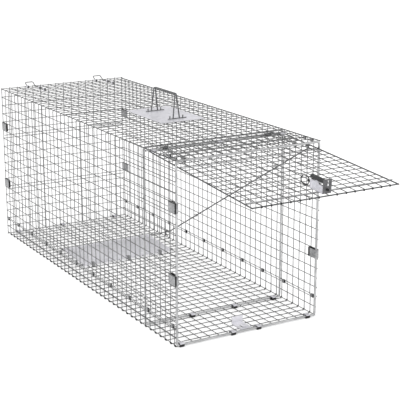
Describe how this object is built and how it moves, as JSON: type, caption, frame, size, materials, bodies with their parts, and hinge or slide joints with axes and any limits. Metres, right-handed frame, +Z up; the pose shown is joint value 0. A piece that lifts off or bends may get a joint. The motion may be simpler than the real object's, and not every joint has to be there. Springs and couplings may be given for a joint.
{
  "type": "live catch trap",
  "caption": "Long cage trap of welded wire mesh with a top-hung drop door held open by a rod from a floor treadle, a spring lock on the door and a carrying handle.",
  "frame": {"origin": "centre of the underside of the cage floor, halfway along the mesh box and halfway across it", "axes": "+Z up; +Y along the cage from the door end to the closed rear panel; +X to the right of someone who looks into the open door end"},
  "size_m": [0.4203, 1.3847, 0.5278],
  "materials": {
    "galvanised_wire": "galvanised after welding",
    "galvanised_sheet": "galvanised sheet",
    "spring_wire": "bright spring steel wire",
    "blackened": "blackened steel",
    "black_plastic": "matt black"
  },
  "bodies": {
    "cage": {"door_hinge_rod": "galvanised_wire", "door_stop_left": "spring_wire", "door_stop_right": "spring_wire", "floor_mesh_front": "galvanised_wire", "floor_mesh_rear": "galvanised_wire", "front_clip_left_lower": "galvanised_sheet", "front_clip_left_upper": "galvanised_sheet", "front_clip_right_lower": "galvanised_sheet", "front_clip_right_upper": "galvanised_sheet", "front_hoop": "galvanised_wire", "handle_guard_plate": "galvanised_sheet", "handle_keeper_front": "galvanised_wire", "handle_keeper_rear": "galvanised_wire", "handle_wire_left": "galvanised_wire", "handle_wire_right": "galvanised_wire", "hinge_spring_left": "spring_wire", "hinge_spring_right": "spring_wire", "middle_hoop": "galvanised_wire", "rear_clip_left_lower": "galvanised_sheet", "rear_clip_left_upper": "galvanised_sheet", "rear_clip_right_lower": "galvanised_sheet", "rear_clip_right_upper": "galvanised_sheet", "rear_hook_left": "spring_wire", "rear_hook_right": "spring_wire", "rear_panel_mesh": "galvanised_wire", "rod_guide_front": "galvanised_wire", "rod_guide_rear": "galvanised_wire", "roof_mesh_front": "galvanised_wire", "roof_mesh_rear": "galvanised_wire", "skirt_mesh_left_front": "galvanised_wire", "skirt_mesh_left_rear": "galvanised_wire", "skirt_mesh_right_front": "galvanised_wire", "skirt_mesh_right_rear": "galvanised_wire", "strike_plate": "galvanised_sheet", "treadle_clip_left": "galvanised_sheet", "treadle_clip_right": "galvanised_sheet", "treadle_hinge_wire": "galvanised_wire", "wall_mesh_left_front": "galvanised_wire", "wall_mesh_left_rear": "galvanised_wire", "wall_mesh_right_front": "galvanised_wire", "wall_mesh_right_rear": "galvanised_wire"},
    "door": {"door_mesh": "galvanised_wire", "door_side_wire_left": "galvanised_wire", "door_side_wire_right": "galvanised_wire", "door_hinge_wire": "galvanised_wire", "door_tip_wire": "galvanised_wire", "door_catch_wire": "spring_wire", "hinge_strap_left": "galvanised_sheet", "hinge_strap_middle": "galvanised_sheet", "hinge_strap_right": "galvanised_sheet", "lock_bracket": "galvanised_sheet", "lock_grip": "black_plastic", "lock_spring": "spring_wire"},
    "lock_bolt": {"lock_bolt": "blackened"},
    "pull_ring": {"pull_ring": "blackened"},
    "treadle": {"treadle_plate": "galvanised_sheet", "treadle_lift_wire": "galvanised_wire"},
    "trip_rod": {"trip_rod": "spring_wire"}
  },
  "joints": [
    {"name": "door_hinge", "type": "hinge", "parent": "cage", "child": "door", "pos_m": [0, -0.387, 0.449], "axis": [1, 0, 0], "range_deg": [0, 72.8], "deforming": ["hinge_spring_left", "hinge_spring_right"]},
    {"name": "bolt_slide", "type": "slide", "parent": "door", "child": "lock_bolt", "axis": [0, 0.9976, 0.0691], "range_m": [0, 0.008], "stiffness_N_per_m": 250, "springref_m": -0.006, "deforming": ["lock_spring"]},
    {"name": "ring_swing", "type": "hinge", "parent": "lock_bolt", "child": "pull_ring", "pos_m": [-0.0045, -0.7761, 0.4369], "axis": [0, -0.0691, 0.9976], "range_deg": [-68, 32]},
    {"name": "treadle_hinge", "type": "hinge", "parent": "cage", "child": "treadle", "pos_m": [0, 0.113, 0.0078], "axis": [-1, 0, 0], "range_deg": [0, 2.8]},
    {"name": "rod_slide", "type": "slide", "parent": "cage", "child": "trip_rod", "axis": [0, 0.8695, -0.494], "range_m": [0, 0.0036]}
  ],
  "couplings": [
    {"joint": "rod_slide", "follows": "treadle_hinge", "m_per_rad": 0.0684}
  ]
}
